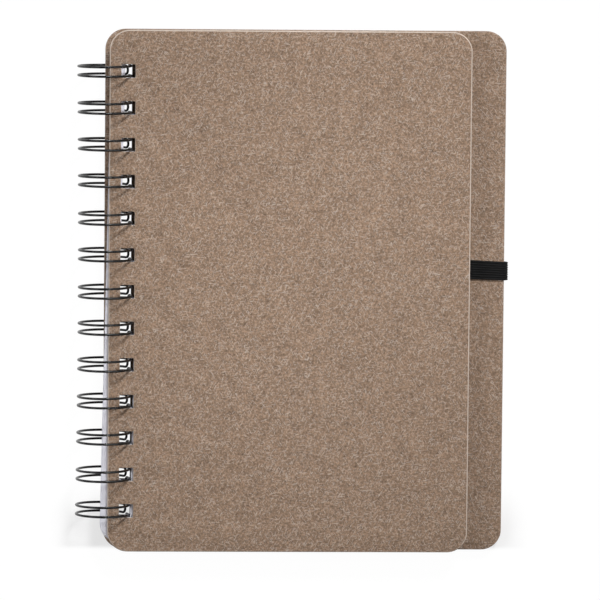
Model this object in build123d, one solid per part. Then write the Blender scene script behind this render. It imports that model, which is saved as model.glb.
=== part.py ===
from build123d import *
from math import asin, atan2, cos, degrees, hypot, radians, sin, sqrt
import os

# A wire-bound notebook lying on its back: two fibreboard covers, a block of
# sheets, one continuous double-loop wire and a flat elastic pen loop.
# Millimetres. +X runs from the spine to the fore edge, +Y to the head of the
# page and +Z out of the front cover. The origin is on the table, under the
# middle of the object's box.

# ---- driving dimensions ----

# fibreboard covers
board_thickness = 1.6
cover_height = 180.8
front_width = 125.0
back_width = 138.8
cover_corner = 7.0
cover_edge_round = 0.3

# binding holes
hole_pitch = 12.7
least_end_margin = 10.0         # end of a cover to the middle of its first hole, at least
front_hole_width = 4.85
back_hole_width = 5.7
page_hole_width = 5.6
hole_height = 4.75
hole_corner = 0.35
front_hole_inset = 6.5          # spine edge of the front cover to the middle of its holes
back_hole_inset = 6.43          # the same for the back cover
page_hole_inset = 7.5           # the same for a sheet

# block of sheets
page_fore_margin = 6.0          # a sheet is this much narrower than the front cover
page_end_margin = 3.4           # and this much shorter at each end
page_corner = 6.0
block_thickness = 5.0
block_drift = 1.463             # the block hangs askew by this much at its end holes

# double-loop wire
wire_diameter = 0.85
ring_radius = 9.1               # to the middle of the wire
loop_spacing = 3.25             # between the two strands of one loop pair
root_bend_radius = 0.9
tip_setback = 1.6               # the closed loop ends turn this far below the root line
cut_end_length = 0.4

# elastic pen loop
band_width = 6.5
band_thickness = 0.85
band_tail = 20.0                # glued under the last sheet, beyond the front cover's edge
band_back_tail = 12.0           # glued on the outer face of the back cover
band_height = 6.9               # middle of the band above the middle of the cover
fold_slack = 0.5                # the fold stands off the back cover's fore edge

# places of the boards and sheets on the rings
stack_drop = 6.3                # ring centre down to the back cover's outer face
front_hole_setback = 0.64       # strands pass this far fore of the middle of the holes
page_hole_setback = 0.66
back_hole_setback = 0.52

# clearances
link_clearance = 0.05           # wire links to the board and to the sheets
cover_clearance = 0.1           # top sheet to the front cover

# ---- places worked out from them ----

wire_radius = wire_diameter / 2
outer_ring_radius = ring_radius + wire_radius
ring_z = outer_ring_radius

back_bottom = ring_z - stack_drop
back_top = back_bottom + board_thickness
block_bottom = back_top + wire_diameter + 2 * link_clearance
block_top = block_bottom + block_thickness
front_bottom = block_top + cover_clearance
front_top = front_bottom + board_thickness
link_z = (back_top + block_bottom) / 2


def strand_reach(level):
    """How far the strands stand fore of the ring centre at a level."""
    return sqrt(ring_radius**2 - (level - ring_z) ** 2)


front_hole_x = strand_reach((front_bottom + front_top) / 2) - front_hole_setback
page_hole_x = strand_reach((block_bottom + block_top) / 2) - page_hole_setback
back_hole_x = strand_reach((back_bottom + back_top) / 2) - back_hole_setback
back_right = back_hole_x - back_hole_inset + back_width
object_right = back_right + fold_slack + band_thickness
ring_x = (outer_ring_radius - object_right) / 2

page_width = front_width - page_fore_margin
page_height = cover_height - 2 * page_end_margin
hole_count = int((cover_height - 2 * least_end_margin) / hole_pitch) + 1
hole_rows = [(index - (hole_count - 1) / 2) * hole_pitch for index in range(hole_count)]
block_skew = degrees(asin(block_drift / hole_rows[-1]))


def punched_sheet(width, height, corner, hole_inset, hole_width, thickness):
    """A sheet with round corners and a row of square holes, centred on the hole row."""
    outline = RectangleRounded(width, height, corner)
    sheet = Pos(width / 2 - hole_inset, 0) * outline
    hole = RectangleRounded(hole_width, hole_height, hole_corner)
    holes = [Pos(0, row) * hole for row in hole_rows]
    return extrude(sheet - holes, thickness)


def cover(width, hole_inset, hole_width, hole_x, bottom):
    """One board, its outer edges slightly rounded all the way round both faces."""
    board = punched_sheet(
        width, cover_height, cover_corner, hole_inset, hole_width, board_thickness
    )
    faces = board.faces().filter_by(Axis.Z)
    rims = [edge for face in faces for edge in face.outer_wire().edges()]
    board = fillet(rims, cover_edge_round)
    return Pos(ring_x + hole_x, 0, bottom) * board


def page_block():
    """All sheets as one block, turned a little about the middle of its hole row."""
    block = punched_sheet(
        page_width, page_height, page_corner, page_hole_inset, page_hole_width, block_thickness
    )
    return Pos(ring_x + page_hole_x, 0, block_bottom) * Rot(0, 0, -block_skew) * block


def ring_point(angle, y):
    """A point on the middle line of the ring; the angle rises from +X to +Z."""
    turn = radians(angle)
    return Vector(ring_x + ring_radius * cos(turn), y, ring_z + ring_radius * sin(turn))


def ring_direction(angle):
    """The direction along the ring, the way the angle rises."""
    turn = radians(angle)
    return Vector(-sin(turn), 0, cos(turn))


# The links lie between the last sheet and the back cover. A strand leaves the
# ring where a quarter bend brings it down to that level.
link_level = link_z - ring_z
bend_reach = hypot(ring_radius, root_bend_radius)
root_angle = degrees(asin(link_level / bend_reach) + atan2(root_bend_radius, ring_radius))
root_line = ring_point(root_angle, 0) - ring_direction(root_angle) * root_bend_radius
root_line_angle = degrees(atan2(root_line.Z - ring_z, root_line.X - ring_x))
tip_angle = root_line_angle - degrees(tip_setback / ring_radius)


def wire_rod(start, direction, length):
    """A straight stretch of wire."""
    section = Plane(origin=start, z_dir=direction) * Circle(wire_radius)
    return extrude(section, length)


def wire_bend(start, direction, centre, axis, sweep_angle):
    """A stretch of wire bent about an axis through the centre."""
    section = Plane(origin=start, z_dir=direction) * Circle(wire_radius)
    return revolve(section, Axis(centre, axis), revolution_arc=sweep_angle)


def ring_strand(y):
    """One strand of a loop, from its root round the spine to where the tip turns."""
    centre = Vector(ring_x, y, ring_z)
    sweep_angle = tip_angle + 360 - root_angle
    start = ring_point(root_angle, y)
    return wire_bend(start, ring_direction(root_angle), centre, (0, -1, 0), sweep_angle)


def loop_tip(row):
    """The closed end of a loop pair: a half turn from one strand to the other."""
    half = loop_spacing / 2
    start = ring_point(tip_angle, row - half)
    centre = ring_point(tip_angle, row)
    along = ring_direction(tip_angle)
    return wire_bend(start, along, centre, Vector(0, -1, 0).cross(along), 180)


def root_bend(y, side):
    """The quarter bend from a strand into a link; side is +1 towards +Y, -1 towards -Y."""
    start = ring_point(root_angle, y)
    down = ring_direction(root_angle) * -1
    outward = Vector(0, side, 0)
    centre = start + outward * root_bend_radius
    return wire_bend(start, down, centre, down.cross(outward), 90)


def wire_binding():
    """One wire: loop pairs joined at their roots by straight links."""
    half = loop_spacing / 2
    down = ring_direction(root_angle) * -1
    pieces = []
    for row in hole_rows:
        pieces += [ring_strand(row - half), ring_strand(row + half), loop_tip(row)]
    for row in hole_rows[:-1]:
        link_start = Vector(root_line.X, row + half + root_bend_radius, root_line.Z)
        link_length = hole_pitch - loop_spacing - 2 * root_bend_radius
        pieces.append(root_bend(row + half, 1))
        pieces.append(wire_rod(link_start, (0, 1, 0), link_length))
        pieces.append(root_bend(row + hole_pitch - half, -1))
    for end_y in (hole_rows[0] - half, hole_rows[-1] + half):
        pieces.append(wire_rod(ring_point(root_angle, end_y), down, cut_end_length))
    return pieces[0].fuse(*pieces[1:])


def pen_loop():
    """A flat elastic band round the fore edge of the back cover, glued on both faces."""
    fore_edge = ring_x + back_right
    front_edge = ring_x + front_hole_x - front_hole_inset + front_width
    fold_face = fore_edge + fold_slack
    outer_round = fold_slack + band_thickness
    inner = [
        (front_edge - band_tail, back_top),
        (fore_edge, back_top),
        (fold_face, back_top - fold_slack),
        (fold_face, back_bottom + fold_slack),
        (fore_edge, back_bottom),
        (fore_edge - band_back_tail, back_bottom),
    ]
    outer = [
        (fore_edge - band_back_tail, back_bottom - band_thickness),
        (fore_edge, back_bottom - band_thickness),
        (fore_edge + outer_round, back_bottom + fold_slack),
        (fore_edge + outer_round, back_top - fold_slack),
        (fore_edge, back_top + band_thickness),
        (front_edge - band_tail, back_top + band_thickness),
    ]
    edges = [
        Line(inner[0], inner[1]),
        RadiusArc(inner[1], inner[2], fold_slack),
        Line(inner[2], inner[3]),
        RadiusArc(inner[3], inner[4], fold_slack),
        Line(inner[4], inner[5]),
        Line(inner[5], outer[0]),
        Line(outer[0], outer[1]),
        RadiusArc(outer[1], outer[2], -outer_round),
        Line(outer[2], outer[3]),
        RadiusArc(outer[3], outer[4], -outer_round),
        Line(outer[4], outer[5]),
        Line(outer[5], inner[0]),
    ]
    section = Plane.XZ * make_face(edges)
    return Pos(0, band_height, 0) * extrude(section, band_width / 2, both=True)


nodes = {
    "front_cover": cover(
        front_width, front_hole_inset, front_hole_width, front_hole_x, front_bottom
    ),
    "back_cover": cover(back_width, back_hole_inset, back_hole_width, back_hole_x, back_bottom),
    "page_block": page_block(),
    "wire_binding": wire_binding(),
    "pen_loop": pen_loop(),
}

os.makedirs("parts", exist_ok=True)
for name, shape in nodes.items():
    export_step(shape, f"parts/{name}.step")
    print(name, round(shape.volume, 2), shape.is_valid)
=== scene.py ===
import math

import bmesh
import bpy
import numpy as np
from bpy.props import FloatProperty, FloatVectorProperty, IntProperty, PointerProperty
from mathutils import Matrix, Vector
from mathutils.geometry import tessellate_polygon


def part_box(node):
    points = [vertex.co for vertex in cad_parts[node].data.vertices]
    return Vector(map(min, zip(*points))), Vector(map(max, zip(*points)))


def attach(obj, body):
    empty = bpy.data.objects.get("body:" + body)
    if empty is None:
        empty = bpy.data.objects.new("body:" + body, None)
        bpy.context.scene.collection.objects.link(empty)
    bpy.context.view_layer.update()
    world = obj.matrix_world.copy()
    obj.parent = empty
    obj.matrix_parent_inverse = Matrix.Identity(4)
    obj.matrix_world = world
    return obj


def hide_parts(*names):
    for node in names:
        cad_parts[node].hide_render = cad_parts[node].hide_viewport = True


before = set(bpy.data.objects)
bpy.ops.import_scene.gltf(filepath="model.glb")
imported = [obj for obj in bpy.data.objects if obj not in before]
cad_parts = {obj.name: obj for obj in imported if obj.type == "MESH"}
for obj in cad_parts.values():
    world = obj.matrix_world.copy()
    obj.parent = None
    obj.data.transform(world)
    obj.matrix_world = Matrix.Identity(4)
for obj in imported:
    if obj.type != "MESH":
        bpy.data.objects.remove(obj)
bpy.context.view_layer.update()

bl_info = {
    "name": "Wire-bound notebook",
    "version": (1, 0, 0),
    "blender": (4, 5, 0),
    "location": "View3D > Sidebar > Notebook",
    "description": "Builds the covers, sheets, wire, elastic loop and stage of a notebook",
    "category": "Object",
}

MM = 0.001


# ---- places taken from the frame ----

def node_box(node):
    """Lowest and highest corner of a node at rest, as arrays in metres."""
    low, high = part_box(node)
    return np.array(low, float), np.array(high, float)


FRONT_LOW, FRONT_HIGH = node_box("front_cover")
BACK_LOW, BACK_HIGH = node_box("back_cover")
BLOCK_LOW, BLOCK_HIGH = node_box("page_block")
WIRE_LOW, WIRE_HIGH = node_box("wire_binding")
BAND_LOW, BAND_HIGH = node_box("pen_loop")
LINK_LEVEL = (BACK_HIGH[2] + BLOCK_LOW[2]) / 2


# ---- mesh helpers ----

def mesh_object(name, points, faces, smooth=False):
    """A new mesh object at the origin from an array of points and a list of faces."""
    mesh = bpy.data.meshes.new(name)
    mesh.from_pydata(points.tolist(), [], faces)
    mesh.update()
    if smooth:
        mesh.shade_smooth()
    else:
        mesh.shade_flat()
    obj = bpy.data.objects.new(name, mesh)
    bpy.context.scene.collection.objects.link(obj)
    return obj


def grid_faces(rows, columns):
    """Quads of a tube's grid: point (row, column) has the number row * columns + column.

    The last column joins the first; the first and last rows stay open.
    """
    row = np.arange(rows - 1)[:, None]
    column = np.arange(columns)[None, :]
    next_row = row + 1
    next_column = (column + 1) % columns
    corners = (
        row * columns + column,
        row * columns + next_column,
        next_row * columns + next_column,
        next_row * columns + column,
    )
    return np.stack(np.broadcast_arrays(*corners), axis=-1).reshape(-1, 4)


def require_closed(obj):
    """Stops the build where a mesh is empty or has an edge without exactly two faces."""
    mesh = obj.data
    edges = np.zeros(len(mesh.loops), np.int32)
    mesh.loops.foreach_get("edge_index", edges)
    if len(edges) == 0 or np.any(np.bincount(edges, minlength=len(mesh.edges)) != 2):
        raise RuntimeError(obj.name + " is not a closed surface")


def round_rectangle(width, height, radius, steps):
    """Anticlockwise outline about the origin: four quarter circles joined by straight sides."""
    turn = np.linspace(0, math.pi / 2, steps)[None, :] + np.arange(4)[:, None] * math.pi / 2
    centre_x = np.array([1, -1, -1, 1])[:, None] * (width / 2 - radius)
    centre_y = np.array([1, 1, -1, -1])[:, None] * (height / 2 - radius)
    x = centre_x + radius * np.cos(turn)
    y = centre_y + radius * np.sin(turn)
    return np.stack([x, y], axis=-1).reshape(-1, 2)


OUTLINE_STEPS = 13
HOLE_STEPS = 4


def punched_plate(
    width, height, corner, inset, hole, rows, thickness, edge_round, hole_round, profile_steps
):
    """Points, quads, triangles and edge marks of a plate with a row of holes, bottom at nought.

    The outline and each hole are carried through a rounding profile: at the turn t of a quarter
    circle of radius r the wall stands r * (1 - sin t) in from the outline and r * (1 - cos t) short
    of the face. The flat faces between the innermost rings are filled with triangles.
    A hole is its width, its height and its corner radius.
    The middle of the hole row is at x = 0. The edge mark is 1 on the walls and 0 on the faces.
    """
    quarter = np.linspace(0, math.pi / 2, profile_steps)
    loops = []
    for number in range(len(rows) + 1):
        rounding = edge_round if number == 0 else hole_round
        rings = [(rounding * (1 - math.sin(t)), rounding * (1 - math.cos(t))) for t in quarter]
        rings += [(draw, thickness - level) for draw, level in rings[::-1]]
        outline = []
        for draw, level in rings:
            if number == 0:
                ring = round_rectangle(
                    width - 2 * draw, height - 2 * draw, corner - draw, OUTLINE_STEPS
                )
                ring = ring + [width / 2 - inset, 0]
            else:
                ring = round_rectangle(
                    hole[0] + 2 * draw, hole[1] + 2 * draw, hole[2] + draw, HOLE_STEPS
                )
                ring = ring[::-1] + [0, rows[number - 1]]
            outline.append(np.column_stack([ring, np.full(len(ring), level)]))
        loops.append(np.stack(outline))
    points, quads, marks, starts = [], [], [], []
    start = 0
    for loop in loops:
        levels, count = loop.shape[:2]
        starts.append(start)
        quads.append(grid_faces(levels, count) + start)
        points.append(loop.reshape(-1, 3))
        ring_mark = np.ones(levels)
        ring_mark[[0, -1]] = 0
        marks.append(np.repeat(ring_mark, count))
        start += levels * count
    flat = [loop[0, :, :2] for loop in loops]
    numbers = [begin + np.arange(loop.shape[1]) for begin, loop in zip(starts, loops)]
    tops = [number + (loop.shape[0] - 1) * loop.shape[1] for number, loop in zip(numbers, loops)]
    cap = np.array(tessellate_polygon([[Vector((x, y, 0)) for x, y in ring] for ring in flat]))
    ring_points = np.concatenate(flat)
    a, b, c = (ring_points[cap[:, k]] for k in range(3))
    area = (b[:, 0] - a[:, 0]) * (c[:, 1] - a[:, 1]) - (b[:, 1] - a[:, 1]) * (c[:, 0] - a[:, 0])
    cap = np.where(area[:, None] > 0, cap, cap[:, ::-1])
    bottom = np.concatenate(numbers)[cap][:, ::-1]
    top = np.concatenate(tops)[cap]
    triangles = np.concatenate([bottom, top])
    return np.concatenate(points), np.concatenate(quads), triangles, np.concatenate(marks)


def mark_edges(obj, marks):
    """Stores the edge marks, scaled by each cover's share of pale cut edge and painted highlight,
    for the board's finish.
    """
    layer = obj.data.attributes.new("edge", "FLOAT", "POINT")
    layer.data.foreach_set("value", marks.astype(np.float32))


# ---- node helpers ----

MIX_COLOUR_A, MIX_COLOUR_B, MIX_COLOUR_RESULT = 6, 7, 2


class Graph:
    """Short calls that add and join the nodes of one node tree."""

    def __init__(self, tree):
        self.tree = tree

    def add(self, kind, **settings):
        """A node of that kind; settings are its own properties."""
        node = self.tree.nodes.new(kind)
        for key, value in settings.items():
            setattr(node, key, value)
        return node

    def join(self, source, target):
        """A link from an output socket to an input socket, or a plain value set on it."""
        if isinstance(source, bpy.types.NodeSocket):
            self.tree.links.new(source, target)
        else:
            target.default_value = source

    def math(self, operation, first, second=0.5, clamp=False):
        """The output of a Math node."""
        node = self.add("ShaderNodeMath", operation=operation, use_clamp=clamp)
        self.join(first, node.inputs[0])
        self.join(second, node.inputs[1])
        return node.outputs[0]

    def vector_math(self, operation, first, second):
        """The output of a Vector Math node."""
        node = self.add("ShaderNodeVectorMath", operation=operation)
        self.join(first, node.inputs[0])
        self.join(second, node.inputs[1])
        return node.outputs[0]

    def mapped(self, vector, rotation, location):
        """Coordinates turned and moved by a Mapping node."""
        node = self.add("ShaderNodeMapping")
        self.join(vector, node.inputs["Vector"])
        node.inputs["Location"].default_value = location
        node.inputs["Rotation"].default_value = rotation
        return node.outputs[0]

    def noise(self, vector, scale=1.0, detail=2.0, roughness=0.5):
        """A Noise Texture node."""
        node = self.add("ShaderNodeTexNoise")
        self.join(vector, node.inputs["Vector"])
        self.join(scale, node.inputs["Scale"])
        node.inputs["Detail"].default_value = detail
        node.inputs["Roughness"].default_value = roughness
        return node

    def ramp(self, value, low, high, to_low=0.0, to_high=1.0, smooth=True):
        """The value carried from the span low..high to the span to_low..to_high."""
        node = self.add("ShaderNodeMapRange", clamp=True)
        if smooth:
            node.interpolation_type = "SMOOTHSTEP"
        self.join(value, node.inputs["Value"])
        self.join(low, node.inputs["From Min"])
        self.join(high, node.inputs["From Max"])
        self.join(to_low, node.inputs["To Min"])
        self.join(to_high, node.inputs["To Max"])
        return node.outputs["Result"]

    def mix(self, factor, first, second, blend="MIX"):
        """A mix of two colours. Its colour sockets share their names, so they go by number."""
        node = self.add("ShaderNodeMix", data_type="RGBA", blend_type=blend)
        self.join(factor, node.inputs["Factor"])
        self.join(first, node.inputs[MIX_COLOUR_A])
        self.join(second, node.inputs[MIX_COLOUR_B])
        return node.outputs[MIX_COLOUR_RESULT]


def new_group(name, inputs, outputs):
    """An empty shader node group with named sockets, and a Graph on it with its two ends."""
    group = bpy.data.node_groups.new(name, "ShaderNodeTree")
    for socket_name, kind, default in inputs:
        socket = group.interface.new_socket(socket_name, in_out="INPUT", socket_type=kind)
        if default is not None:
            socket.default_value = default
    for socket_name, kind in outputs:
        group.interface.new_socket(socket_name, in_out="OUTPUT", socket_type=kind)
    graph = Graph(group)
    return group, graph, graph.add("NodeGroupInput"), graph.add("NodeGroupOutput")


def new_material(name):
    """A material, its Graph, its Principled BSDF and its Object coordinates."""
    material = bpy.data.materials.new(name)
    material.use_nodes = True
    graph = Graph(material.node_tree)
    shader = material.node_tree.nodes["Principled BSDF"]
    coordinates = graph.add("ShaderNodeTexCoord")
    return material, graph, shader, coordinates


def placed_group(graph, group, **values):
    """A node that places a group in a material with its own values."""
    node = graph.add("ShaderNodeGroup")
    node.node_tree = group
    for key, value in values.items():
        graph.join(value, node.inputs[key.replace("_", " ")])
    return node


def add_bump(graph, shader, height, strength, distance):
    """Relief from a height that changes over the surface."""
    bump = graph.add("ShaderNodeBump")
    bump.inputs["Strength"].default_value = strength
    bump.inputs["Distance"].default_value = distance
    graph.join(height, bump.inputs["Height"])
    graph.join(bump.outputs["Normal"], shader.inputs["Normal"])


def colour(value):
    """A colour property as red, green, blue and full alpha."""
    return (value[0], value[1], value[2], 1.0)


# ---- shared effects ----

FLOAT = "NodeSocketFloat"
VECTOR = "NodeSocketVector"
BEND_SCALE = 420.0
FIBRE_LAYERS = 6
SPARSE, DENSE, SOFTNESS = 0.80, 0.50, 0.10


def fibre_group():
    """Short curled fibres lying every way.

    They are stretched noise, bent by a wider noise, in layers turned by equal steps; the highest
    layer shows.
    """
    group, graph, start, end = new_group(
        "Pressed fibres",
        [
            ("Vector", VECTOR, None),
            ("Length", FLOAT, 0.0022),
            ("Width", FLOAT, 0.00028),
            ("Curl", FLOAT, 0.0008),
            ("Cover", FLOAT, 0.5),
        ],
        [("Fibres", FLOAT)],
    )
    bend = graph.noise(start.outputs["Vector"], BEND_SCALE, 1.0)
    bend = graph.vector_math("SUBTRACT", bend.outputs["Color"], (0.5, 0.5, 0.5))
    scaled = graph.add("ShaderNodeVectorMath", operation="SCALE")
    graph.join(bend, scaled.inputs[0])
    graph.join(start.outputs["Curl"], scaled.inputs["Scale"])
    warped = graph.vector_math("ADD", start.outputs["Vector"], scaled.outputs[0])
    across = graph.math("DIVIDE", 1.0, start.outputs["Width"])
    along = graph.math("DIVIDE", 1.0, start.outputs["Length"])
    threshold = graph.ramp(start.outputs["Cover"], 0.0, 1.0, SPARSE, DENSE, smooth=False)
    upper = graph.math("ADD", threshold, SOFTNESS)
    stretch = graph.add("ShaderNodeCombineXYZ")
    graph.join(along, stretch.inputs[0])
    graph.join(across, stretch.inputs[1])
    graph.join(across, stretch.inputs[2])
    total = None
    for layer in range(FIBRE_LAYERS):
        angle = layer * math.pi / FIBRE_LAYERS + 0.35 * (layer % 2)
        offset = (0.37 * layer, 0.19 * layer, 0.11 * layer)
        turned = graph.mapped(warped, (0, 0, angle), offset)
        drawn = graph.vector_math("MULTIPLY", turned, stretch.outputs[0])
        streak = graph.noise(drawn, 1.0, 0.0).outputs["Fac"]
        mask = graph.ramp(streak, threshold, upper)
        total = mask if total is None else graph.math("MAXIMUM", total, mask)
    graph.join(total, end.inputs["Fibres"])
    return group


def mottle_group():
    """Soft cloudy variation in two sizes, centred on nought. It is built once."""
    built = bpy.data.node_groups.get("Cloudy mottling")
    if built:
        return built
    group, graph, start, end = new_group(
        "Cloudy mottling",
        [("Vector", VECTOR, None), ("Wide Scale", FLOAT, 45.0), ("Fine Scale", FLOAT, 900.0)],
        [("Wide", FLOAT), ("Fine", FLOAT)],
    )
    wide = graph.noise(start.outputs["Vector"], start.outputs["Wide Scale"], 3.0)
    fine = graph.noise(start.outputs["Vector"], start.outputs["Fine Scale"], 2.0)
    graph.join(graph.math("SUBTRACT", wide.outputs["Fac"], 0.5), end.inputs["Wide"])
    graph.join(graph.math("SUBTRACT", fine.outputs["Fac"], 0.5), end.inputs["Fine"])
    return group


# ---- sizes and colours that a user would change ----

class BoardProperties(bpy.types.PropertyGroup):
    """Looks of the two recycled fibreboard covers."""

    corner: FloatProperty(
        name="Corner", description="Radius of the covers' corners",
        subtype="DISTANCE", unit="LENGTH", default=7.0 * MM,
    )
    edge_round: FloatProperty(
        name="Edge rounding", description="Rounding of the covers' outer edges",
        subtype="DISTANCE", unit="LENGTH", default=0.45 * MM,
    )
    front_hole: FloatProperty(
        name="Front hole width", description="Width of the front cover's holes",
        subtype="DISTANCE", unit="LENGTH", default=4.85 * MM,
    )
    back_hole: FloatProperty(
        name="Back hole width", description="Width of the back cover's holes",
        subtype="DISTANCE", unit="LENGTH", default=5.7 * MM,
    )
    hole_height: FloatProperty(
        name="Hole height", description="Size of every hole along the spine",
        subtype="DISTANCE", unit="LENGTH", default=4.75 * MM,
    )
    hole_corner: FloatProperty(
        name="Hole corner", description="Radius of the corners of every hole",
        subtype="DISTANCE", unit="LENGTH", default=0.35 * MM,
    )
    front_inset: FloatProperty(
        name="Front inset", description="Spine edge of the front cover to the middle of its holes",
        subtype="DISTANCE", unit="LENGTH", default=6.5 * MM,
    )
    back_inset: FloatProperty(
        name="Back inset", description="Spine edge of the back cover to the middle of its holes",
        subtype="DISTANCE", unit="LENGTH", default=6.43 * MM,
    )
    base: FloatVectorProperty(
        name="Board colour", description="Colour of the pulp between the fibres",
        subtype="COLOR", size=3, min=0, max=1, default=(0.262, 0.176, 0.120),
    )
    light: FloatVectorProperty(
        name="Light fibres", description="Colour of the pale fibres",
        subtype="COLOR", size=3, min=0, max=1, default=(0.60, 0.53, 0.47),
    )
    dark: FloatVectorProperty(
        name="Dark fibres", description="Colour of the dark fibres and specks",
        subtype="COLOR", size=3, min=0, max=1, default=(0.16, 0.095, 0.06),
    )
    # the paler cut edge colour: partly the raw edge's own tone, partly a painted highlight on the
    # rounding
    pale_cut_edge_and_highlight: FloatVectorProperty(
        name="Cut edge", description="Colour of the board's raw cut edge",
        subtype="COLOR", size=3, min=0, max=1, default=(0.60, 0.51, 0.44),
    )
    fibre_length: FloatProperty(
        name="Fibre length", description="Usual length of a fibre",
        subtype="DISTANCE", unit="LENGTH", default=1.9 * MM,
    )
    fibre_width: FloatProperty(
        name="Fibre width", description="Usual spacing across the fibres",
        subtype="DISTANCE", unit="LENGTH", default=0.26 * MM,
    )


class SheetProperties(bpy.types.PropertyGroup):
    """Sizes and looks of the sheets."""

    count: IntProperty(
        name="Sheets", description="Number of sheets in the block", min=2, max=200, default=50,
    )
    skew: FloatProperty(
        name="Skew", description="How far the block hangs askew on the wire",
        subtype="ANGLE", unit="ROTATION", default=math.radians(-1.1),
    )
    stray: FloatProperty(
        name="Stray", description="How far a sheet may lie out of line with the block",
        subtype="DISTANCE", unit="LENGTH", default=0.06 * MM,
    )
    corner: FloatProperty(
        name="Corner", description="Radius of the sheets' corners",
        subtype="DISTANCE", unit="LENGTH", default=6.0 * MM,
    )
    hole: FloatProperty(
        name="Hole width", description="Width of the sheets' holes",
        subtype="DISTANCE", unit="LENGTH", default=5.6 * MM,
    )
    inset: FloatProperty(
        name="Inset", description="Spine edge of a sheet to the middle of its holes",
        subtype="DISTANCE", unit="LENGTH", default=7.5 * MM,
    )
    paper: FloatVectorProperty(
        name="Paper colour", description="Colour of the sheets",
        subtype="COLOR", size=3, min=0, max=1, default=(0.79, 0.79, 0.865),
    )


class WireProperties(bpy.types.PropertyGroup):
    """Sizes and looks of the double-loop wire."""

    diameter: FloatProperty(
        name="Wire diameter", description="Thickness of the coated wire",
        subtype="DISTANCE", unit="LENGTH", default=0.85 * MM,
    )
    pitch: FloatProperty(
        name="Pitch", description="Distance from one loop pair to the next",
        subtype="DISTANCE", unit="LENGTH", default=12.7 * MM,
    )
    pairs: IntProperty(
        name="Loop pairs", description="Number of loop pairs", min=2, max=60, default=13,
    )
    root_spacing: FloatProperty(
        name="Root spacing", description="Distance between the two strands of a pair at the root",
        subtype="DISTANCE", unit="LENGTH", default=3.4 * MM,
    )
    tip_spacing: FloatProperty(
        name="Tip spacing",
        description="Distance between the two strands of a pair at the closed tip",
        subtype="DISTANCE", unit="LENGTH", default=2.9 * MM,
    )
    bow: FloatProperty(
        name="Bow", description="How far the middle of the row stands fore of its ends",
        subtype="DISTANCE", unit="LENGTH", default=0.65 * MM,
    )
    bend_radius: FloatProperty(
        name="Root bend", description="Radius of the bends between strands and links",
        subtype="DISTANCE", unit="LENGTH", default=0.9 * MM,
    )
    tip_setback: FloatProperty(
        name="Tip setback", description="How far below the root line a tip starts to turn",
        subtype="DISTANCE", unit="LENGTH", default=1.6 * MM,
    )
    coating: FloatVectorProperty(
        name="Coating", description="Colour of the wire's coating",
        subtype="COLOR", size=3, min=0, max=1, default=(0.006, 0.006, 0.0065),
    )


class BandProperties(bpy.types.PropertyGroup):
    """Sizes and looks of the elastic pen loop."""

    ribs: IntProperty(
        name="Ribs", description="Number of lengthwise rubber ribs", min=2, max=30, default=8,
    )
    rib_height: FloatProperty(
        name="Rib height", description="Height of a rib above the valleys beside it",
        subtype="DISTANCE", unit="LENGTH", default=0.26 * MM,
    )
    slant: FloatProperty(
        name="Slant", description="How far the glued end lies nearer the head than the fold",
        subtype="DISTANCE", unit="LENGTH", default=0.5 * MM,
    )
    rise: FloatProperty(
        name="Rise", description="How far the fold lies nearer the head than its nominal place",
        subtype="DISTANCE", unit="LENGTH", default=0.25 * MM,
    )
    back_tail: FloatProperty(
        name="Back tail", description="Length glued on the back cover's outer face",
        subtype="DISTANCE", unit="LENGTH", default=12.0 * MM,
    )
    yarn: FloatVectorProperty(
        name="Yarn colour", description="Colour of the covering yarn",
        subtype="COLOR", size=3, min=0, max=1, default=(0.002, 0.002, 0.0022),
    )


class StageProperties(bpy.types.PropertyGroup):
    """The floor, lamps and camera."""

    floor_level: FloatProperty(
        name="Floor level", description="Height of the floor",
        subtype="DISTANCE", unit="LENGTH", default=0.0,
    )
    whiteness: FloatProperty(
        name="Whiteness", description="Share of plain white in the floor",
        min=0, max=1, default=0.95,
    )
    shade_whiteness: FloatProperty(
        name="Shade whiteness", description="The same in the patches that keep more of the shadow",
        min=0, max=1, default=0.62,
    )
    camera_distance: FloatProperty(
        name="Camera distance", description="From the camera to the middle of the notebook",
        subtype="DISTANCE", unit="LENGTH", default=2.0,
    )
    camera_tilt: FloatProperty(
        name="Camera tilt", description="How far the camera leans towards the head of the page",
        subtype="ANGLE", unit="ROTATION", default=math.radians(5.32),
    )
    camera_yaw: FloatProperty(
        name="Camera yaw", description="How far the camera leans towards the spine",
        subtype="ANGLE", unit="ROTATION", default=math.radians(2.67),
    )
    camera_roll: FloatProperty(
        name="Camera roll", description="Turn of the camera about its own line of sight",
        subtype="ANGLE", unit="ROTATION", default=math.radians(0.264),
    )
    lens: FloatProperty(
        name="Lens", description="Focal length on a 36 mm sensor, in millimetres", default=346.6,
    )


class NotebookProperties(bpy.types.PropertyGroup):
    """All the groups of sizes and colours."""

    board: PointerProperty(type=BoardProperties)
    sheets: PointerProperty(type=SheetProperties)
    wire: PointerProperty(type=WireProperties)
    band: PointerProperty(type=BandProperties)
    stage: PointerProperty(type=StageProperties)


# ---- materials ----

FINE_TONE, WIDE_TONE = 2.0, 0.45
# the cut-edge share mixes in the paler edge colour, partly its own tone and partly a painted
# highlight
DARK_SHARE, PALE_SHARE, CUT_EDGE_AND_HIGHLIGHT_SHARE = 0.55, 0.52, 0.85
SIDE_LAYER_TURN = 0.3
SIDE_LAYER_OFFSET = (0.013, 0.029, 0.007)


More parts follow.
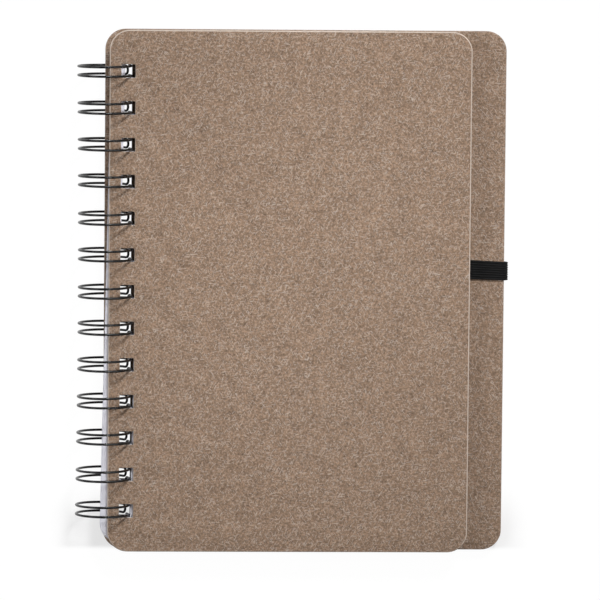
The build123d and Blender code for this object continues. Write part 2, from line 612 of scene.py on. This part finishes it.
def board_material(board):
    """Recycled fibreboard: brown pulp, pale and dark curled fibres, and a paler cut edge, partly
    the raw edge's own tone and partly a painted highlight.
    """
    material, graph, shader, coordinates = new_material("fibreboard")
    place = coordinates.outputs["Object"]
    fibres = fibre_group()
    mottling = placed_group(
        graph, mottle_group(), Vector=place, Wide_Scale=150.0, Fine_Scale=1500.0,
    )
    pale = placed_group(
        graph, fibres, Vector=place, Length=board.fibre_length, Width=board.fibre_width,
        Curl=0.0003, Cover=0.33,
    )
    moved = graph.mapped(place, (0, 0, SIDE_LAYER_TURN), SIDE_LAYER_OFFSET)
    dusky = placed_group(
        graph, fibres, Vector=moved, Length=board.fibre_length * 0.8, Width=board.fibre_width * 1.2,
        Curl=0.0003, Cover=0.30,
    )
    fine = graph.math("MULTIPLY", mottling.outputs["Fine"], FINE_TONE)
    wide = graph.math("MULTIPLY", mottling.outputs["Wide"], WIDE_TONE)
    tone = graph.math("ADD", graph.math("ADD", fine, wide), 1.0)
    pulp = graph.mix(1.0, colour(board.base), tone, "MULTIPLY")
    shade = graph.math("MULTIPLY", dusky.outputs["Fibres"], DARK_SHARE)
    pulp = graph.mix(shade, pulp, colour(board.dark))
    glint = graph.math("MULTIPLY", pale.outputs["Fibres"], PALE_SHARE)
    face = graph.mix(glint, pulp, colour(board.light))
    # pale edge on the rounding: partly the raw edge's own tone, partly a painted highlight
    edge = graph.add("ShaderNodeAttribute", attribute_name="edge")
    side = graph.ramp(edge.outputs["Fac"], 0.1, 0.9, 0.0, CUT_EDGE_AND_HIGHLIGHT_SHARE)
    # painted shade: the pale edge is left out where the edge faces the foot (-Y), so the foot edge
    # looks darker
    facing_for_painted_shade = graph.add("ShaderNodeSeparateXYZ")
    graph.join(coordinates.outputs["Normal"], facing_for_painted_shade.inputs[0])
    side = graph.math("MULTIPLY", side, graph.ramp(facing_for_painted_shade.outputs[1], -0.6, -0.1, 0.0, 1.0))
    graph.join(graph.mix(side, face, colour(board.pale_cut_edge_and_highlight)), shader.inputs["Base Color"])
    shader.inputs["Roughness"].default_value = 0.82
    shader.inputs["Specular IOR Level"].default_value = 0.25
    height = graph.math("ADD", pale.outputs["Fibres"], mottling.outputs["Fine"])
    add_bump(graph, shader, height, 0.35, 0.06 * MM)
    return material


def paper_material(sheets):
    """Smooth uncoated paper with a faint formation cloud and a soft tooth."""
    material, graph, shader, coordinates = new_material("paper")
    place = coordinates.outputs["Object"]
    mottling = placed_group(
        graph, mottle_group(), Vector=place, Wide_Scale=160.0, Fine_Scale=2600.0,
    )
    tone = graph.math("MULTIPLY", mottling.outputs["Wide"], 0.05)
    fine = graph.math("MULTIPLY", mottling.outputs["Fine"], 0.06)
    tone = graph.math("ADD", graph.math("ADD", tone, fine), 1.0)
    graph.join(graph.mix(1.0, colour(sheets.paper), tone, "MULTIPLY"), shader.inputs["Base Color"])
    shader.inputs["Roughness"].default_value = 0.75
    shader.inputs["Specular IOR Level"].default_value = 0.3
    add_bump(graph, shader, mottling.outputs["Fine"], 0.2, 0.03 * MM)
    return material


def coating_material(wire):
    """Black nylon coating on steel wire: glossy, with faint drawn unevenness and rubbed spots."""
    material, graph, shader, coordinates = new_material("coated wire")
    place = coordinates.outputs["Object"]
    mottling = placed_group(
        graph, mottle_group(), Vector=place, Wide_Scale=220.0, Fine_Scale=3800.0,
    )
    rubbed = graph.ramp(mottling.outputs["Fine"], 0.12, 0.22, 0.0, 0.35)
    worn = (0.05, 0.05, 0.052, 1.0)
    grey = graph.mix(rubbed, colour(wire.coating), worn)
    graph.join(grey, shader.inputs["Base Color"])
    graph.join(
        graph.ramp(mottling.outputs["Wide"], -0.3, 0.3, 0.22, 0.36), shader.inputs["Roughness"]
    )
    shader.inputs["Specular IOR Level"].default_value = 0.4
    shader.inputs["Coat Weight"].default_value = 0.08
    shader.inputs["Coat Roughness"].default_value = 0.12
    add_bump(graph, shader, mottling.outputs["Fine"], 0.15, 0.02 * MM)
    return material


def elastic_material(band):
    """Black covering yarn wound across the ribs, drawn along the band's own map, with painted shade
    in the rib valleys.
    """
    material, graph, shader, coordinates = new_material("ribbed elastic")
    place = coordinates.outputs["UV"]
    yarn = graph.add(
        "ShaderNodeTexWave", wave_type="BANDS", bands_direction="X", wave_profile="SIN"
    )
    graph.join(place, yarn.inputs["Vector"])
    yarn.inputs["Scale"].default_value = 850.0
    yarn.inputs["Distortion"].default_value = 1.5
    yarn.inputs["Detail"].default_value = 2.0
    fuzz = graph.noise(coordinates.outputs["Object"], 5200.0, 3.0)
    light = graph.math("MULTIPLY", yarn.outputs["Fac"], 0.45)
    light = graph.math("ADD", light, graph.math("MULTIPLY", fuzz.outputs["Fac"], 0.4))
    across = graph.add("ShaderNodeSeparateXYZ")
    graph.join(place, across.inputs[0])
    rib_turn = band.ribs * math.pi / (BAND_HIGH[1] - BAND_LOW[1])
    rib = graph.math("MULTIPLY", across.outputs[1], rib_turn)
    rib = graph.math("ADD", rib, band.ribs * math.pi / 2)
    rib = graph.math("ABSOLUTE", graph.math("SINE", rib, 0.0), 0.0)
    # painted shade: the lighter yarn tone is kept to the rib crests and darkened in the valleys;
    # the yarn streaks are the yarn's own tone
    rib_crest_light = graph.ramp(rib, 0.15, 0.95, 0.1, 1.0)
    yarn_tone_and_crest_light = graph.math("MULTIPLY", graph.ramp(light, 0.2, 0.75, 0.25, 1.0), rib_crest_light)
    lit_yarn = (0.0095, 0.0095, 0.010, 1.0)
    graph.join(graph.mix(yarn_tone_and_crest_light, colour(band.yarn), lit_yarn), shader.inputs["Base Color"])
    shader.inputs["Roughness"].default_value = 0.78
    shader.inputs["Specular IOR Level"].default_value = 0.2
    shader.inputs["Sheen Weight"].default_value = 0.04
    shader.inputs["Sheen Roughness"].default_value = 0.5
    add_bump(graph, shader, light, 0.6, 0.06 * MM)
    return material


# ---- pieces ----

def hole_row(wire):
    """Places of the hole centres along the spine."""
    return (np.arange(wire.pairs) - (wire.pairs - 1) / 2) * wire.pitch


HOLE_ROUND = 0.12 * MM
BOARD_PROFILE_STEPS = 5
# share of the pale cut edge and its painted highlight on each cover; the back's smaller share is
# painted shade
FRONT_LIT_EDGE_SHARE = 1.0
BACK_SHADED_EDGE_SHARE = 0.3


class NOTEBOOK_OT_boards(bpy.types.Operator):
    """Builds both fibreboard covers as punched plates with softly rounded edges"""

    bl_idname = "notebook.boards"
    bl_label = "Build the covers"

    def execute(self, context):
        board = context.scene.notebook.board
        rows = hole_row(context.scene.notebook.wire)
        material = board_material(board)
        covers = (
            (
                "front_cover", "front_board", FRONT_LOW, FRONT_HIGH,
                board.front_hole, board.front_inset, FRONT_LIT_EDGE_SHARE,
            ),
            (
                "back_cover", "back_board", BACK_LOW, BACK_HIGH,
                board.back_hole, board.back_inset, BACK_SHADED_EDGE_SHARE,
            ),
        )
        for node, body, low, high, hole_width, inset, lit_edge_share in covers:
            width, height, thickness = high - low
            points, quads, triangles, marks = punched_plate(
                width, height, board.corner, inset,
                (hole_width, board.hole_height, board.hole_corner), rows,
                thickness, board.edge_round, HOLE_ROUND, BOARD_PROFILE_STEPS,
            )
            points = points + [low[0] + inset, 0, low[2]]
            faces = quads.tolist() + triangles.tolist()
            obj = mesh_object(node + "_board", points, faces, smooth=True)
            require_closed(obj)
            mark_edges(obj, marks * lit_edge_share)
            obj.data.materials.append(material)
            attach(obj, body)
            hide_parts(node)
        return {"FINISHED"}


PAPER_SHARE = 0.9
PAPER_ROUNDING = 0.2
PAPER_PROFILE_STEPS = 3
TURN_SPREAD = 0.0003
SHEET_SEED = 7


class NOTEBOOK_OT_sheets(bpy.types.Operator):
    """Builds the sheets, each a thin punched plate lying a little out of line with the next"""

    bl_idname = "notebook.sheets"
    bl_label = "Build the sheets"

    def execute(self, context):
        sheets = context.scene.notebook.sheets
        board = context.scene.notebook.board
        rows = hole_row(context.scene.notebook.wire)
        skew = abs(sheets.skew)
        # the box of a turned plate is its straight sides' turned box plus its round corners
        reach = (BLOCK_HIGH - BLOCK_LOW)[:2] - 2 * sheets.corner
        turned = np.array([[math.cos(skew), math.sin(skew)], [math.sin(skew), math.cos(skew)]])
        width, height = np.linalg.solve(turned, reach) + 2 * sheets.corner
        step = (BLOCK_HIGH[2] - BLOCK_LOW[2]) / sheets.count
        thickness = step * PAPER_SHARE
        rounding = thickness * PAPER_ROUNDING
        points, quads, triangles, _ = punched_plate(
            width, height, sheets.corner, sheets.inset,
            (sheets.hole, board.hole_height, board.hole_corner), rows,
            thickness, rounding, rounding, PAPER_PROFILE_STEPS,
        )
        x = points[:, 0] * math.cos(sheets.skew) - points[:, 1] * math.sin(sheets.skew)
        centre_x = BLOCK_LOW[0] - x.min()
        random = np.random.default_rng(SHEET_SEED)
        turn = sheets.skew + random.normal(0, TURN_SPREAD, sheets.count)
        shift = np.clip(random.normal(0, 0.5, (sheets.count, 2)), -1, 1) * sheets.stray
        level = BLOCK_LOW[2] + np.arange(sheets.count) * step
        cos, sin = np.cos(turn)[:, None], np.sin(turn)[:, None]
        stack = np.stack([
            points[:, 0] * cos - points[:, 1] * sin + centre_x + shift[:, :1],
            points[:, 0] * sin + points[:, 1] * cos + shift[:, 1:],
            points[:, 2] + level[:, None],
        ], axis=-1)
        numbers = np.arange(sheets.count) * len(points)
        all_faces = []
        for part in (triangles, quads):
            repeated = part[None] + numbers[:, None, None]
            all_faces += repeated.reshape(-1, part.shape[1]).tolist()
        obj = mesh_object("sheet_stack", stack.reshape(-1, 3), all_faces)
        require_closed(obj)
        obj.data.materials.append(paper_material(sheets))
        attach(obj, "bound_block")
        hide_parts("page_block")
        return {"FINISHED"}


CLIMB_STEPS = 72
TIP_STEPS = 17
BEND_STEPS = 8
TUBE_SIDES = 14
STRAY_SPREAD = 0.16 * MM
STRAY_LIMIT = 0.25 * MM
WIRE_SEED = 3


def meander(wire, ring_radius, root_angle, tip_angle, jitter):
    """The wire laid out flat: distance round the ring and place along the spine.

    Each pair runs up one strand, turns half a circle at the tip and comes down the other strand;
    quarter circles and straight links along the root line join one pair to the next.
    """
    bend = wire.bend_radius
    root = root_angle * ring_radius
    tip = tip_angle * ring_radius
    climb = np.linspace(root + bend, tip, CLIMB_STEPS)
    share = (climb - climb[0]) / (climb[-1] - climb[0])
    half = (wire.root_spacing + (wire.tip_spacing - wire.root_spacing) * share) / 2
    turn = np.linspace(-math.pi / 2, math.pi / 2, TIP_STEPS)[1:-1]
    quarter = np.linspace(0, math.pi / 2, BEND_STEPS)[:-1]
    round_tip = tip + wire.tip_spacing / 2 * np.cos(turn)
    side_tip = wire.tip_spacing / 2 * np.sin(turn)
    out_bend = root + bend * (1 - np.sin(quarter[1:]))
    out_side = wire.root_spacing / 2 + bend * (1 - np.cos(quarter[1:]))
    link_end = wire.pitch / 2
    around = np.concatenate([
        [root], out_bend[::-1], climb, round_tip, climb[::-1], out_bend, [root],
    ])
    along = np.concatenate([
        [-link_end], -out_side[::-1], -half, side_tip, half[::-1], out_side, [link_end],
    ])
    swing = np.sin(np.clip((around - climb[0]) / (climb[-1] - climb[0]), 0, 1) * math.pi)
    along = hole_row(wire)[:, None] + along[None, :] + jitter[:, :1] * swing[None, :]
    around = np.repeat(around[None, :], wire.pairs, axis=0)
    start = 1 + len(out_bend)
    return around.ravel()[start:-start], along.ravel()[start:-start]


class NOTEBOOK_OT_wire(bpy.types.Operator):
    """Builds the double-loop wire: one round tube along a flat meander wrapped round the ring"""

    bl_idname = "notebook.wire"
    bl_label = "Build the wire"

    def execute(self, context):
        """The flat distance s stands on the ring of radius r at the angle s / r.

        The middle of the row bows towards the fore edge by a cosine that is nought at its ends.
        """
        wire = context.scene.notebook.wire
        radius = wire.diameter / 2
        outer = (WIRE_HIGH[2] - WIRE_LOW[2]) / 2
        ring_radius = outer - radius
        ring_x = WIRE_LOW[0] + outer
        ring_z = (WIRE_LOW[2] + WIRE_HIGH[2]) / 2
        root_angle = math.asin((LINK_LEVEL - ring_z) / ring_radius)
        tip_angle = root_angle + 2 * math.pi - wire.tip_setback / ring_radius
        random = np.random.default_rng(WIRE_SEED)
        stray = random.normal(0, STRAY_SPREAD, (wire.pairs, 1))
        jitter = np.clip(stray, -STRAY_LIMIT, STRAY_LIMIT)
        around, along = meander(wire, ring_radius, root_angle, tip_angle, jitter)
        angle = around / ring_radius
        radial = np.stack([np.cos(angle), 0 * angle, np.sin(angle)], axis=1)
        row_end = wire.pitch * wire.pairs / 2
        bow = wire.bow * np.cos(along / row_end * math.pi / 2)
        path = radial * ring_radius + np.stack([ring_x + bow, along, 0 * angle + ring_z], axis=1)
        tangent = np.gradient(path, axis=0)
        tangent /= np.linalg.norm(tangent, axis=1, keepdims=True)
        normal = radial - tangent * np.sum(radial * tangent, axis=1, keepdims=True)
        normal /= np.linalg.norm(normal, axis=1, keepdims=True)
        side = np.cross(tangent, normal)
        turn = (np.arange(TUBE_SIDES) * 2 * math.pi / TUBE_SIDES)[None, :, None]
        ring = normal[:, None] * np.cos(turn) + side[:, None] * np.sin(turn)
        points = (path[:, None] + radius * ring).reshape(-1, 3)
        faces = grid_faces(len(path), TUBE_SIDES).tolist()
        last = (len(path) - 1) * TUBE_SIDES
        faces.append(list(range(TUBE_SIDES))[::-1])
        faces.append(list(range(last, last + TUBE_SIDES)))
        obj = mesh_object("double_loop_wire", points, faces, smooth=True)
        require_closed(obj)
        obj.data.materials.append(coating_material(wire))
        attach(obj, "bound_block")
        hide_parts("wire_binding")
        return {"FINISHED"}


RIB_STEPS = 16
RIB_POWER = 0.7
SELVEDGE = 0.06
SELVEDGE_SHARE = 0.25
BAND_CLEARANCE = 0.02 * MM
RIPPLE = 0.015 * MM
RIPPLE_LENGTH = 2.3 * MM
WIDENING = 0.03
FACE_LEVEL = 0.1 * MM


class NOTEBOOK_OT_pen_loop(bpy.types.Operator):
    """Builds the elastic band: a ribbed profile carried round the fore edge of the back cover"""

    bl_idname = "notebook.pen_loop"
    bl_label = "Build the pen loop"

    def execute(self, context):
        """The path is two straight runs joined by two quarter circles round the fore edge.

        Across the band the outer face is as high as the size of a sine with one half wave to a
        rib, raised to a power below one, so that the ribs are full and the valleys narrow.
        """
        band = context.scene.notebook.band
        thickness = BACK_LOW[2] - BAND_LOW[2]
        width = BAND_HIGH[1] - BAND_LOW[1]
        middle = (BAND_HIGH[1] + BAND_LOW[1]) / 2
        slack = BAND_HIGH[0] - thickness - BACK_HIGH[0]
        edge = BACK_HIGH[0]
        top, bottom = BACK_HIGH[2], BACK_LOW[2]
        tail = edge - band.back_tail
        quarter = np.linspace(0, math.pi / 2, 10)
        upper = np.linspace(BAND_LOW[0], edge, 60)[:-1]
        lower = np.linspace(edge, tail, 24)[1:]
        x = np.concatenate([
            upper, edge + slack * np.sin(quarter), edge + slack * np.cos(quarter), lower,
        ])
        z = np.concatenate([
            0 * upper + top, top - slack * (1 - np.cos(quarter)),
            bottom + slack * (1 - np.sin(quarter)), 0 * lower + bottom,
        ])
        path = np.stack([x, z], axis=1)
        tangent = np.gradient(path, axis=0)
        tangent /= np.linalg.norm(tangent, axis=1, keepdims=True)
        out = np.stack([-tangent[:, 1], tangent[:, 0]], axis=1)
        run = np.concatenate([[0], np.cumsum(np.linalg.norm(np.diff(path, axis=0), axis=1))])
        across = np.linspace(-1, 1, RIB_STEPS * band.ribs + 1)
        rib = np.abs(np.sin((across + 1) / 2 * math.pi * band.ribs)) ** RIB_POWER
        shoulder = np.sqrt(np.clip((1 - np.abs(across)) / SELVEDGE, 0, 1))
        full = SELVEDGE_SHARE + (1 - SELVEDGE_SHARE) * shoulder
        raised = (thickness - band.rib_height * (1 - rib)) * full
        under = np.full(len(raised), BAND_CLEARANCE)
        section_y = np.concatenate([across, across[::-1]]) * width / 2
        section_h = np.concatenate([raised, under])
        ripple = RIPPLE * np.sin(run / RIPPLE_LENGTH)
        outer_face = section_h > FACE_LEVEL
        lift = np.minimum(section_h[None, :] + outer_face[None, :] * ripple[:, None], thickness)
        points_x = path[:, :1] + out[:, :1] * lift
        points_z = path[:, 1:] + out[:, 1:] * lift
        drift = band.slant * np.clip((edge - path[:, :1]) / (edge - FRONT_HIGH[0]), 0, 1.5)
        widening = 1 + WIDENING * drift / band.slant
        points_y = section_y[None, :] * widening + middle + band.rise + drift
        points = np.stack([points_x, points_y, points_z], axis=-1).reshape(-1, 3)
        columns = len(section_y)
        walls = grid_faces(len(path), columns)
        k = np.arange(len(across) - 1)
        cap = np.stack([k, k + 1, columns - 2 - k, columns - 1 - k], axis=1)
        last = (len(path) - 1) * columns
        faces = np.concatenate([walls, cap, cap[:, ::-1] + last]).tolist()
        obj = mesh_object("elastic_band", points, faces)
        require_closed(obj)
        add_band_map(obj, run, section_y, columns)
        recalculated(obj)
        obj.data.materials.append(elastic_material(band))
        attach(obj, "back_board")
        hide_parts("pen_loop")
        return {"FINISHED"}


def add_band_map(obj, run, section_y, columns):
    """A map in metres: distance along the band and across it."""
    layer = obj.data.uv_layers.new(name="band")
    vertex = np.zeros(len(obj.data.loops), np.int32)
    obj.data.loops.foreach_get("vertex_index", vertex)
    values = np.stack([run[vertex // columns], section_y[vertex % columns]], axis=1)
    layer.data.foreach_set("uv", values.astype(np.float32).ravel())


def recalculated(obj):
    """Turns the faces of a closed mesh outwards."""
    work = bmesh.new()
    work.from_mesh(obj.data)
    bmesh.ops.recalc_face_normals(work, faces=work.faces)
    work.to_mesh(obj.data)
    work.free()


# ---- stage ----

def area_lamp(name, place, target, size, power):
    """A square soft lamp at a place, turned to a target."""
    data = bpy.data.lights.new(name, "AREA")
    data.size = size
    data.energy = power
    set_lamp(name, data, place, target)


def spot_lamp(name, place, target, radius, cone, power):
    """A spot with a soft pool of light; the cone is in degrees."""
    data = bpy.data.lights.new(name, "SPOT")
    data.shadow_soft_size = radius
    data.spot_size = math.radians(cone)
    data.spot_blend = 1.0
    data.energy = power
    set_lamp(name, data, place, target)


def set_lamp(name, data, place, target):
    """A lamp object at a place, turned to a target."""
    lamp = bpy.data.objects.new(name, data)
    lamp.location = place
    lamp.rotation_euler = (Vector(target) - Vector(place)).to_track_quat("-Z", "Y").to_euler()
    bpy.context.scene.collection.objects.link(lamp)


PATCH_SIDE_SPAN = (0.074, 0.086)
PATCH_FOOT_SPAN = (-0.0915, -0.0895)
PATCH_HEAD_SPAN = (-0.084, -0.068)
FLOOR_GREY = (0.92, 0.92, 0.92, 1.0)
FLOOR_GLOW = 1.02


def floor_material(stage):
    """A pale floor that looks white to the eye and to gloss, yet keeps a soft shadow.

    The shadow shows more in two patches beside the lower corners and only faintly elsewhere.
    """
    material, graph, shader, coordinates = new_material("floor")
    shader.inputs["Base Color"].default_value = FLOOR_GREY
    shader.inputs["Roughness"].default_value = 0.9
    shader.inputs["Specular IOR Level"].default_value = 0.0
    place = graph.add("ShaderNodeSeparateXYZ")
    graph.join(coordinates.outputs["Object"], place.inputs[0])
    beside = graph.math("ABSOLUTE", place.outputs[0], 0.0)
    beside = graph.ramp(beside, *PATCH_SIDE_SPAN, 1.0, 0.0)
    foot = graph.ramp(place.outputs[1], *PATCH_FOOT_SPAN, 0.0, 1.0)
    head = graph.ramp(place.outputs[1], *PATCH_HEAD_SPAN, 1.0, 0.0)
    patch = graph.math("MULTIPLY", beside, graph.math("MULTIPLY", foot, head))
    share = graph.ramp(patch, 0.0, 1.0, stage.whiteness, stage.shade_whiteness, smooth=False)
    path = graph.add("ShaderNodeLightPath")
    seen = graph.math("MAXIMUM", path.outputs["Is Camera Ray"], path.outputs["Is Glossy Ray"])
    seen = graph.math("MAXIMUM", seen, path.outputs["Is Transmission Ray"])
    glow = graph.add("ShaderNodeEmission")
    glow.inputs["Color"].default_value = (1, 1, 1, 1)
    glow.inputs["Strength"].default_value = FLOOR_GLOW
    blend = graph.add("ShaderNodeMixShader")
    graph.join(graph.math("MULTIPLY", seen, share), blend.inputs[0])
    graph.join(shader.outputs[0], blend.inputs[1])
    graph.join(glow.outputs[0], blend.inputs[2])
    output = graph.tree.nodes["Material Output"]
    graph.join(blend.outputs[0], output.inputs["Surface"])
    return material


FLOOR_REACH = 3.0
WORLD_LIGHT = 0.10
SIGHT = (2.604 * MM, -2.964 * MM, 8 * MM)
SENSOR = 36


class NOTEBOOK_OT_stage(bpy.types.Operator):
    """Sets the floor, the lamps, the world and the camera"""

    bl_idname = "notebook.stage"
    bl_label = "Set the stage"

    def execute(self, context):
        stage = context.scene.notebook.stage
        corners = np.array([[-1, -1], [1, -1], [1, 1], [-1, 1]]) * FLOOR_REACH
        points = np.column_stack([corners, np.full(4, stage.floor_level)])
        floor = mesh_object("floor", points, [[0, 1, 2, 3]])
        floor.data.materials.append(floor_material(stage))
        spot_lamp(
            "key", place=(0.2, 0.6, 0.65), target=(0.005, 0.012, 0),
            radius=0.15, cone=23.5, power=44.0,
        )
        area_lamp("left", place=(-0.85, 0.15, 0.85), target=(0, 0, 0), size=0.6, power=5.0)
        area_lamp("right", place=(0.9, 0.1, 0.85), target=(0, 0, 0), size=0.6, power=4.0)
        world = bpy.data.worlds.new("studio")
        world.use_nodes = True
        world.node_tree.nodes["Background"].inputs["Color"].default_value = (1, 1, 1, 1)
        world.node_tree.nodes["Background"].inputs["Strength"].default_value = WORLD_LIGHT
        context.scene.world = world
        context.scene.view_settings.view_transform = "Standard"
        self.set_camera(context, stage)
        if context.scene.camera is None:
            raise RuntimeError("the stage has no camera")
        return {"FINISHED"}

    def set_camera(self, context, stage):
        """The camera looks down on the front cover, leaning a little towards its head."""
        lean, yaw, roll = stage.camera_tilt, stage.camera_yaw, stage.camera_roll
        forward = Vector((0, -math.sin(lean), -math.cos(lean)))
        up = Vector((0, math.cos(lean), -math.sin(lean)))
        right = Vector((1, 0, 0))
        view = forward * math.cos(yaw) + right * math.sin(yaw)
        level = right * math.cos(yaw) - forward * math.sin(yaw)
        across = level * math.cos(roll) + up * math.sin(roll)
        rise = up * math.cos(roll) - level * math.sin(roll)
        target = Vector((0, 0, SIGHT[2])) + across * SIGHT[0] + rise * SIGHT[1]
        data = bpy.data.cameras.new("camera")
        data.lens = stage.lens
        data.sensor_width = SENSOR
        data.clip_end = 20
        camera = bpy.data.objects.new("camera", data)
        turn = Matrix((across, rise, -view)).transposed().to_4x4()
        camera.matrix_world = Matrix.Translation(target - view * stage.camera_distance) @ turn
        context.scene.collection.objects.link(camera)
        context.scene.camera = camera


class NOTEBOOK_PT_panel(bpy.types.Panel):
    """Lists the steps that build the notebook, with their sizes and colours"""

    bl_label = "Notebook"
    bl_idname = "NOTEBOOK_PT_panel"
    bl_space_type = "VIEW_3D"
    bl_region_type = "UI"
    bl_category = "Notebook"

    def draw(self, context):
        notebook = context.scene.notebook
        for group_name, step in STEPS:
            group = getattr(notebook, group_name)
            box = self.layout.box()
            for name in group.__annotations__:
                box.prop(group, name)
            box.operator(step)


STEPS = (
    ("board", "notebook.boards"),
    ("sheets", "notebook.sheets"),
    ("wire", "notebook.wire"),
    ("band", "notebook.pen_loop"),
    ("stage", "notebook.stage"),
)

CLASSES = (
    BoardProperties,
    SheetProperties,
    WireProperties,
    BandProperties,
    StageProperties,
    NotebookProperties,
    NOTEBOOK_OT_boards,
    NOTEBOOK_OT_sheets,
    NOTEBOOK_OT_wire,
    NOTEBOOK_OT_pen_loop,
    NOTEBOOK_OT_stage,
    NOTEBOOK_PT_panel,
)


def register():
    """Makes the classes and the scene's notebook settings known."""
    for cls in CLASSES:
        bpy.utils.register_class(cls)
    bpy.types.Scene.notebook = PointerProperty(type=NotebookProperties)


def unregister():
    """Takes them away again."""
    del bpy.types.Scene.notebook
    for cls in reversed(CLASSES):
        bpy.utils.unregister_class(cls)


def main():
    """Builds everything in order."""
    register()
    bpy.ops.notebook.boards()
    bpy.ops.notebook.sheets()
    bpy.ops.notebook.wire()
    bpy.ops.notebook.pen_loop()
    bpy.ops.notebook.stage()


if __name__ == "__main__":
    main()
